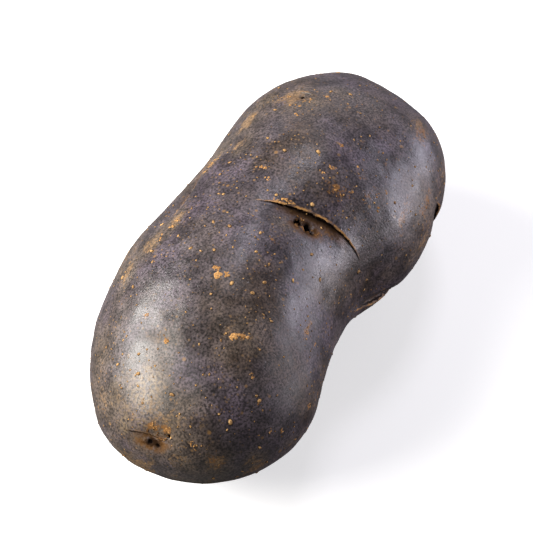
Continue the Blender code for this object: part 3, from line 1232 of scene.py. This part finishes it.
@dataclass
class CrumbShape:
    """A rough flattened ball, the unit shape of crumbs and bits of old skin."""

    flatness: float = 0.62
    seed: int = 4

    def build(self) -> bpy.types.Object:
        """The shape, about one unit across from its middle to its edge."""
        ball = bmesh.new()
        bmesh.ops.create_icosphere(ball, subdivisions=2, radius=1.0)
        for vert in ball.verts:
            rough = noise.noise(vert.co * 1.3 + Vector((self.seed, 0.0, 0.0)))
            fine = noise.noise(vert.co * 3.3 + Vector((0.0, self.seed, 0.0)))
            vert.co *= 1 + 0.4 * rough + 0.25 * fine
            vert.co.z *= self.flatness
        mesh = closed_edit(ball, "crumb_shape")
        mesh.shade_smooth()
        # Painted shade: each crumb is darker towards its underside
        write_attribute(mesh, "rim", [max(0.0, min(1.0, -3.0 * v.co.z)) for v in mesh.vertices])
        return plain_piece("crumb_shape", mesh)


# What lies on the skin


@dataclass(frozen=True)
class Placing:
    """Where the shapes of one tree go: its points, and each one's turn, size and tone."""

    points: Socket
    turn: Socket
    size: Socket
    tone: Socket | None


class StrewnTree(Wiring):
    """A geometry node tree that puts one shape on points, with inputs set by name."""

    def __init__(self, name: str, numbers: Iterable[str]) -> None:
        """Makes the tree with its inputs.

        Args:
            name: Its name.
            numbers: The names of its own number inputs.
        """
        super().__init__(bpy.data.node_groups.new(name, "GeometryNodeTree"))
        kinds = {"Geometry": "Geometry", "Shape": "Object", "Finish": "Material",
                 "Waver": "Float", **dict.fromkeys(numbers, "Float")}
        face = self.tree.interface
        for label, kind in kinds.items():
            face.new_socket(label, in_out="INPUT", socket_type="NodeSocket" + kind)
        face.new_socket("Geometry", in_out="OUTPUT", socket_type="NodeSocketGeometry")
        self.given = self.node("NodeGroupInput").outputs

    def random(self, low: float, high: float, seed: int) -> Socket:
        """A random number for each point or instance, from a fixed seed."""
        fed = {"Min": low, "Max": high, "Seed": seed}
        return self.result(self.node("FunctionNodeRandomValue", fed, data_type="FLOAT"))

    def named(self, name: str, kind: str) -> Socket:
        """The value of a named attribute, of kind FLOAT or FLOAT_VECTOR."""
        fed = {"Name": name}
        return self.result(self.node("GeometryNodeInputNamedAttribute", fed, data_type=kind))

    def spun(self, standing: Socket, angle: Socket) -> Socket:
        """A shape's turn: standing on the skin, and spun about its own axis by an angle."""
        angles = self.node("ShaderNodeCombineXYZ", {"Z": angle}).outputs[0]
        spin = self.node("FunctionNodeEulerToRotation", {0: angles}).outputs[0]
        fed = {0: standing, 1: spin}
        return self.node("FunctionNodeRotateRotation", fed, rotation_space="LOCAL").outputs[0]

    def strew(self, placing: Placing) -> Tree:
        """Puts the shape down, makes it real, wavers it and dresses it.

        Args:
            placing: Where the shapes go.

        Returns:
            The finished tree.
        """
        shape = self.node("GeometryNodeObjectInfo", {"Object": self.given["Shape"]})
        shapes = self.node("GeometryNodeInstanceOnPoints", {
            "Points": placing.points, "Instance": shape.outputs["Geometry"],
            "Rotation": placing.turn, "Scale": placing.size,
        }).outputs["Instances"]
        if placing.tone is not None:
            fed = {"Geometry": shapes, "Name": "tone", "Value": placing.tone}
            shapes = self.node("GeometryNodeStoreNamedAttribute", fed, data_type="FLOAT",
                               domain="INSTANCE").outputs["Geometry"]
        real = self.node("GeometryNodeRealizeInstances", {"Geometry": shapes})
        fed = {"Geometry": self._wavered(real.outputs["Geometry"]),
               "Material": self.given["Finish"]}
        dressed = self.node("GeometryNodeSetMaterial", fed).outputs["Geometry"]
        self.node("NodeGroupOutput", {"Geometry": dressed})
        return self.tree

    def _wavered(self, geometry: Socket) -> Socket:
        """Moves every point a little, so that no two shapes are alike."""
        bumps = self.noise(None, 1900.0, 1.0).outputs["Color"]
        centred = self.vector("SUBTRACT", bumps, (0.5, 0.5, 0.5))
        fed = {"Geometry": geometry, "Offset": self.scaled(centred, self.given["Waver"])}
        return self.node("GeometryNodeSetPosition", fed).outputs["Geometry"]


@dataclass
class Strewn:
    """Small shapes put on the skin by a geometry node tree; subclasses say where."""

    name: str
    seed: int
    waver: float

    def carrier(self) -> bpy.types.Object:
        """The object whose geometry carries the points."""
        raise NotImplementedError

    def inputs(self) -> dict[str, float]:
        """The tree's own number inputs, by name."""
        return {}

    def placing(self, tree: StrewnTree) -> Placing:
        """Adds the nodes that place the shapes in a tree."""
        raise NotImplementedError

    def build(self, shape: bpy.types.Object, material: bpy.types.Material) -> bpy.types.Object:
        """Puts the shapes down and keeps the result as a plain mesh.

        Args:
            shape: The unit shape.
            material: The shapes' material.

        Returns:
            The piece.
        """
        carrier = self.carrier()
        modifier = carrier.modifiers.new(self.name, "NODES")
        tree = StrewnTree(self.name, self.inputs())
        modifier.node_group = tree.strew(self.placing(tree))
        values = {"Shape": shape, "Finish": material, "Waver": self.waver, **self.inputs()}
        for item in modifier.node_group.interface.items_tree:
            if item.item_type == "SOCKET" and item.in_out == "INPUT" and item.name in values:
                modifier[item.identifier] = values[item.name]
        bpy.context.view_layer.update()
        graph = bpy.context.evaluated_depsgraph_get()
        mesh = bpy.data.meshes.new_from_object(carrier.evaluated_get(graph))
        mesh.name = self.name
        bpy.data.objects.remove(carrier)
        return plain_piece(self.name, mesh)


@dataclass
class Scattered(Strewn):
    """Shapes scattered over a whole surface at random; sizes are in metres."""

    surface: bpy.types.Object
    density: float
    apart: float
    smallest: float
    largest: float
    sharpness: float
    clumping: float
    palest: float = 1.0

    def carrier(self) -> bpy.types.Object:
        """A copy of the surface."""
        return plain_piece(self.name + "_carrier", self.surface.data.copy())

    def inputs(self) -> dict[str, float]:
        """How thick the shapes lie, how far apart, how large and how clumped."""
        names = ("density", "apart", "smallest", "largest", "sharpness", "clumping")
        return {name.capitalize(): getattr(self, name) for name in names}

    def placing(self, tree: StrewnTree) -> Placing:
        """Points on the faces, each with a random turn, size and tone."""
        fed = {"Mesh": tree.given["Geometry"], "Distance Min": tree.given["Apart"],
               "Density Max": tree.given["Density"], "Density Factor": self._clumps(tree),
               "Seed": self.seed}
        points = tree.node("GeometryNodeDistributePointsOnFaces", fed,
                           distribute_method="POISSON")
        angle = tree.random(0.0, 2 * math.pi, self.seed + 1)
        turn = tree.spun(points.outputs["Rotation"], angle)
        tone = tree.random(0.0, self.palest, self.seed + 5)
        return Placing(points.outputs["Points"], turn, self._sizes(tree), tone)

    def _clumps(self, tree: StrewnTree) -> Socket:
        """Where the shapes lie thicker, from a slow noise over the skin."""
        slow = tree.noise(None, 70.0, 2.0).outputs["Fac"]
        thin = tree.minus(tree.ramp(slow, 0.42, 0.62), 1.0)
        return tree.plus(tree.times(thin, tree.given["Clumping"]), 1.0)

    def _sizes(self, tree: StrewnTree) -> Socket:
        """Each shape's size: mostly small, longer than wide, and a little taller or flatter."""
        smallest = tree.given["Smallest"]
        share = tree.math("POWER", tree.random(0.0, 1.0, self.seed + 2), tree.given["Sharpness"])
        size = tree.plus(tree.times(tree.minus(tree.given["Largest"], smallest), share), smallest)
        ranges = {"X": (0.9, 1.6), "Y": (0.75, 1.05), "Z": (0.6, 1.0)}
        sides = {axis: tree.times(size, tree.random(low, high, self.seed + 3 + ord(axis)))
                 for axis, (low, high) in ranges.items()}
        return tree.node("ShaderNodeCombineXYZ", sides).outputs[0]


@dataclass(frozen=True)
class Crust:
    """A few crumbs that lie together; spread is across and towards the stem, in millimetres."""

    place: float
    angle: float
    spread: tuple[float, float]
    count: int
    size: tuple[float, float]
    tone: float = 0.6
    turn: float = 0.0


def dot(place: float, angle: float, radius: float, tone: float) -> Crust:
    """One dot by itself."""
    return Crust(place, angle, (0, 0), 1, (radius, radius + 0.02), tone)


@dataclass
class Placed(Strewn):
    """Shapes placed at listed spots, one or a few together."""

    form: TuberForm
    crusts: tuple[Crust, ...]
    flatness: float = 1.0
    sink: float = 0.0
    scale: float = 0.85

    def carrier(self) -> bpy.types.Object:
        """Loose points on the skin that carry each shape's normal, size, spin and tone."""
        rng = np.random.default_rng(self.seed)
        rows = [self._crumbs(crust, rng) for crust in self.crusts]
        points, normals, sizes, spins, tones = map(np.concatenate, zip(*rows))
        mesh = bpy.data.meshes.new(self.name + "_points")
        mesh.from_pydata([tuple(p) for p in points], [], [])
        write_attribute(mesh, "stand", normals, "FLOAT_VECTOR")
        write_attribute(mesh, "size", sizes, "FLOAT_VECTOR")
        write_attribute(mesh, "spin", spins)
        write_attribute(mesh, "tone", tones)
        return plain_piece(self.name + "_points", mesh)

    def _crumbs(self, crust: Crust, rng: np.random.Generator) -> tuple[Array, ...]:
        """One crust's crumbs.

        Args:
            crust: The crust.
            rng: What the random draws come from.

        Returns:
            Their points, normals, sizes, spins and tones.
        """
        count = crust.count
        ring = rng.uniform(0.0, 1.0, count) ** 0.6 * (count > 1)
        turns = np.arange(count) * 2.4 + rng.uniform(0.0, 0.9, count)
        radii = rng.uniform(*crust.size, count) * self.scale
        across, stemward = crust.spread
        flat = np.stack([ring * np.cos(turns) * across, ring * np.sin(turns) * stemward,
                         -self.sink * radii], 1)
        frame = self.form.frame(crust.place, crust.angle, crust.turn)
        points, normals = self.form.on_skin(frame, flat)
        stretch = rng.uniform(0.65, 1.55, (count, 3))
        stretch[:, 2] = self.flatness * rng.uniform(0.75, 1.2, count)
        spins = rng.uniform(0.0, 2 * math.pi, count)
        tones = np.clip(crust.tone + rng.uniform(-0.25, 0.25, count), 0.0, 1.0)
        return points, normals, radii[:, None] * stretch * MM, spins, tones

    def placing(self, tree: StrewnTree) -> Placing:
        """The loose points; each one's tone passes to its shape by itself."""
        fed = {"Vector": tree.named("stand", "FLOAT_VECTOR")}
        align = tree.node("FunctionNodeAlignRotationToVector", fed, axis="Z")
        turn = tree.spun(align.outputs["Rotation"], tree.named("spin", "FLOAT"))
        return Placing(tree.given["Geometry"], turn, tree.named("size", "FLOAT_VECTOR"), None)


NOTABLE_DOTS = (
    dot(-0.157, 99, 0.52, 1.0),
    dot(0.291, 99, 0.50, 1.0),
    dot(-0.182, 75, 0.40, 0.7),
    dot(-0.329, 77, 0.36, 0.9),
    dot(-0.031, 70, 0.34, 0.8),
    dot(-0.254, 126, 0.42, 0.9),
    dot(0.241, 85, 0.44, 0.6),
    dot(0.039, 95, 0.38, 0.8),
    dot(0.080, 113, 0.36, 1.0),
    dot(0.672, 92, 0.36, 0.8),
    dot(0.643, 82, 0.36, 0.6),
    dot(-0.458, 123, 0.36, 0.9),
    dot(-0.900, 104, 0.36, 0.8),
    dot(-0.834, 135, 0.52, 0.9),
    dot(-0.820, 113, 0.32, 0.6),
    dot(-0.838, 126, 0.30, 0.8),
    dot(-0.811, 166, 0.38, 1.0),
    dot(-0.349, 50, 0.46, 0.9),
    dot(-0.450, 35, 0.50, 1.0),
    dot(0.036, 160, 0.34, 0.9),
    dot(0.040, 175, 0.32, 0.8),
    dot(-0.723, 138, 0.55, 0.5),
)

SKIN_BITS = (
    Crust(-0.384, 88, (0.2, 0.2), 2, (0.80, 0.95), 0.6),
    Crust(-0.407, 90, (0.3, 0.3), 3, (0.80, 1.00), 0.9),
    Crust(-0.390, 93.5, (0.5, 0.3), 3, (0.66, 0.85), 0.5),
    Crust(-0.592, 109.5, (0.4, 0.3), 3, (0.80, 0.95), 1.0),
    Crust(-0.578, 112.5, (0.5, 0.3), 4, (0.50, 0.65), 0.3),
    Crust(-0.570, 115.5, (0.6, 0.2), 3, (0.36, 0.48), 1.0),
    Crust(0.139, 79, (2.3, 0.35), 9, (0.34, 0.55), 0.45),
    Crust(0.094, 86, (0.7, 0.5), 4, (0.30, 0.50), 0.6),
    Crust(0.262, 108, (0.7, 0.4), 5, (0.34, 0.50), 0.8),
    Crust(0.371, 105, (0.4, 0.9), 4, (0.30, 0.42), 0.3),
    Crust(0.320, 135, (0.5, 1.0), 4, (0.24, 0.36), 0.4),
    Crust(0.22, 106, (0.8, 0.3), 3, (0.26, 0.34), 0.9),
    Crust(-0.706, 79, (0.5, 0.4), 4, (0.40, 0.60), 0.35),
    Crust(-0.627, 63, (0.4, 0.4), 3, (0.34, 0.50), 0.05),
    Crust(-0.371, 146, (0.4, 1.6), 6, (0.22, 0.40), 0.75, 20),
    Crust(-0.371, 155, (0.4, 0.9), 4, (0.26, 0.42), 0.5),
    Crust(-0.677, 126, (0.9, 0.5), 4, (0.24, 0.36), 0.8),
    Crust(-0.757, 158, (0.7, 0.4), 3, (0.26, 0.36), 0.7),
    Crust(-0.722, 164, (0.8, 0.3), 3, (0.26, 0.38), 0.7),
    Crust(-0.566, 169, (0.6, 0.9), 5, (0.26, 0.42), 0.6),
    Crust(-0.474, 175, (0.5, 0.6), 3, (0.26, 0.36), 0.5),
    Crust(-0.732, 139.5, (0.3, 0.3), 2, (0.30, 0.36), 0.2),
    Crust(0.554, 58, (2.4, 1.2), 7, (0.22, 0.40), 0.7),
    Crust(0.502, 71, (1.4, 1.2), 6, (0.24, 0.40), 0.6),
    Crust(0.456, 77, (1.0, 0.8), 5, (0.24, 0.40), 0.7),
    Crust(0.553, 75, (1.2, 0.8), 5, (0.24, 0.42), 0.6),
    Crust(0.60, 83, (1.0, 0.7), 4, (0.26, 0.44), 0.7),
    Crust(0.022, 98, (1.3, 0.25), 8, (0.30, 0.50), 0.8, 10),
    Crust(0.041, 102, (1.8, 0.3), 11, (0.30, 0.52), 0.8, 10),
    Crust(-0.195, 54, (1.0, 2.0), 8, (0.30, 0.60), 0.8),
    Crust(-0.287, 51, (0.8, 1.4), 5, (0.26, 0.50), 0.7),
    Crust(0.150, 45, (0.5, 2.4), 7, (0.24, 0.45), 0.7),
    Crust(-0.956, 84, (1.6, 0.8), 6, (0.26, 0.44), 0.3),
    Crust(-0.953, 101, (0.9, 0.8), 5, (0.26, 0.42), 0.5),
    Crust(0.185, 117, (1.6, 1.2), 6, (0.16, 0.32), 0.5),
    Crust(0.218, 122, (0.8, 0.3), 3, (0.22, 0.34), 0.4),
    Crust(0.225, 130, (0.6, 0.6), 3, (0.18, 0.30), 0.4),
    Crust(0.286, 132, (0.5, 0.8), 3, (0.18, 0.30), 0.4),
    Crust(0.247, 137, (0.6, 0.9), 4, (0.18, 0.30), 0.3),
    Crust(0.330, 118, (0.9, 0.4), 3, (0.20, 0.30), 0.8),
    Crust(-0.947, 131, (1.4, 0.4), 5, (0.26, 0.40), 0.6, -30),
    Crust(0.457, 161, (0.5, 2.4), 7, (0.22, 0.36), 0.3),
)

EYE_EARTH = (
    Crust(0.012, 113, (1.2, 1.0), 10, (0.20, 0.42), 0.6, 10),
    Crust(-0.016, 117, (2.4, 0.6), 14, (0.24, 0.48), 0.9, 10),
    Crust(-0.002, 125, (1.6, 0.7), 9, (0.24, 0.44), 0.9, 10),
    Crust(-0.975, 90, (3.0, 1.6), 16, (0.20, 0.40), 0.2),
    Crust(0.53, -174, (2.4, 1.6), 14, (0.24, 0.50), 0.3),
)


# The studio


@dataclass(frozen=True)
class Lamp:
    """A soft rectangular light that faces the tuber.

    bearing is in degrees to the right of the way the camera looks, elevation in degrees above
    the table, distance and size in metres and power in watts.
    """

    name: str
    bearing: float
    elevation: float
    distance: float
    size: tuple[float, float]
    power: float
    colour: tuple[float, float, float]


@dataclass
class Studio:
    """The white table, the soft lights and the camera, which aren't part of the object."""

    bearing: float = 63.5
    elevation: float = 52.0
    distance: float = 0.80
    lens: float = 236.0
    sensor: float = 36.0
    clip: tuple[float, float] = (0.01, 20.0)
    aim: tuple[float, float, float] = (0.0, 0.0, 0.0235)
    table_half: float = 6.0
    table_glow: float = 0.55
    room_light: float = 0.085
    lamps: tuple[Lamp, ...] = (
        Lamp("key", -90.0, 34.0, 0.60, (0.68, 0.25), 11.6, (1.0, 0.97, 0.92)),
        Lamp("far_wall", 6.0, 14.0, 1.0, (0.9, 0.20), 1.65, (0.95, 0.90, 1.0)),
        Lamp("right_card", 70.0, 11.0, 0.50, (0.40, 0.20), 1.8, (0.88, 0.85, 1.0)),
        Lamp("low_card", 90.0, 3.0, 0.50, (0.36, 0.055), 0.9, (1.0, 0.92, 0.96)),
        Lamp("ceiling", 12.0, 55.0, 1.1, (0.30, 0.20), 3.0, (0.92, 0.89, 1.0)),
    )

    def build(self) -> None:
        """Builds the whole studio."""
        self._table()
        self._world()
        self._camera()
        for lamp in self.lamps:
            self._light(lamp)

    def _table(self) -> None:
        """A wide pale sheet, bright to the camera and dimmer to the tuber."""
        sheet = bmesh.new()
        bmesh.ops.create_grid(sheet, x_segments=1, y_segments=1, size=self.table_half)
        mesh = closed_edit(sheet, "table")
        wires = Shading("white_sheet")
        seen = wires.node("ShaderNodeLightPath").outputs["Is Camera Ray"]
        wires.shade(
            Base_Color=wires.mix(seen, DIM, BRIGHT),
            Roughness=0.9,
            Specular_IOR_Level=0.1,
            Emission_Color=wires.mix(seen, BLACK, WHITE),
            Emission_Strength=self.table_glow,
        )
        mesh.materials.append(wires.material)
        plain_piece("table", mesh)

    def _world(self) -> None:
        """White to the camera, and a dim even room to the tuber."""
        world = bpy.data.worlds.new("studio")
        bpy.context.scene.world = world
        world.use_nodes = True
        wires = Wiring(world.node_tree)
        background = world.node_tree.nodes["Background"].inputs
        seen = wires.node("ShaderNodeLightPath").outputs["Is Camera Ray"]
        wires.feed(background["Strength"], wires.ramp(seen, 0.0, 1.0, self.room_light, 1.0))
        wires.feed(background["Color"], WHITE)
        bpy.context.scene.view_settings.view_transform = "Standard"

    def _camera(self) -> None:
        """The camera, at the photograph's angle with its long lens."""
        lens = bpy.data.cameras.new("camera")
        lens.lens, lens.sensor_width = self.lens, self.sensor
        lens.clip_start, lens.clip_end = self.clip
        camera = self._facing("camera", lens, 180.0, self.elevation, self.distance)
        bpy.context.scene.camera = camera

    def _light(self, lamp: Lamp) -> None:
        """Builds one lamp, which the camera doesn't see."""
        light = bpy.data.lights.new(lamp.name, "AREA")
        light.shape = "RECTANGLE"
        light.size, light.size_y = lamp.size
        light.energy, light.color = lamp.power, lamp.colour
        made = self._facing(lamp.name, light, lamp.bearing, lamp.elevation, lamp.distance)
        made.visible_camera = False

    def _facing(self, name: str, data: bpy.types.ID, bearing: float, elevation: float,
                distance: float) -> bpy.types.Object:
        """Puts a lamp or the camera about the tuber, facing it.

        Args:
            name: Its name.
            data: The light's or the camera's data.
            bearing: Degrees to the right of the way the camera looks.
            elevation: Degrees above the table.
            distance: How far off it stands, in metres.

        Returns:
            The object.
        """
        turn, rise = math.radians(self.bearing + bearing), math.radians(elevation)
        out = Vector((math.sin(turn) * math.cos(rise), math.cos(turn) * math.cos(rise),
                      math.sin(rise)))
        made = plain_piece(name, data)
        made.location = Vector(self.aim) + out * distance
        made.rotation_mode = "QUATERNION"
        made.rotation_quaternion = (-out).to_track_quat("-Z", "Y")
        return made


def keep(piece: bpy.types.Object, report: Callable[[str], None]) -> None:
    """Makes a piece ride on the tuber's body, and reports it.

    Args:
        piece: The piece.
        report: What writes a line of the log.
    """
    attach(piece, "root")
    report(f"{piece.name}: {len(piece.data.polygons)} faces")


def main() -> None:
    """Builds the pieces in order, then the studio."""
    logging.basicConfig(level=logging.INFO, format="%(message)s")
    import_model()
    form = TuberForm()

    skin = Skin(form).build(SkinShading(SkinFinish(), SharedEffects()).build())
    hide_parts("potato")
    mound, crumb = DotShape().build(), CrumbShape().build()
    cork, flake, earth = (kind.value.material() for kind in Cork)
    strewn = (
        (Scattered("lenticels", 3, 0.00030, skin, density=42000.0, apart=0.0040,
                   smallest=0.00018, largest=0.00040, sharpness=2.2, clumping=0.4), mound, cork),
        (Scattered("small_lenticels", 17, 0.00016, skin, density=300000.0, apart=0.0013,
                   smallest=0.00008, largest=0.00022, sharpness=2.0, clumping=0.7,
                   palest=0.65), mound, cork),
        (Placed("notable_lenticels", 5, 0.00030, form, NOTABLE_DOTS), mound, cork),
        (Placed("skin_bits", 21, 0.00050, form, SKIN_BITS, flatness=0.30, sink=0.12),
         crumb, flake),
        (Placed("eye_earth", 33, 0.00040, form, EYE_EARTH, flatness=0.7, sink=0.1),
         crumb, earth),
    )
    pieces = [skin] + [group.build(shape, finish) for group, shape, finish in strewn]
    bpy.data.objects.remove(mound)
    bpy.data.objects.remove(crumb)
    for piece in pieces:
        keep(piece, LOG.info)

    Studio().build()


if __name__ == "__main__":
    main()
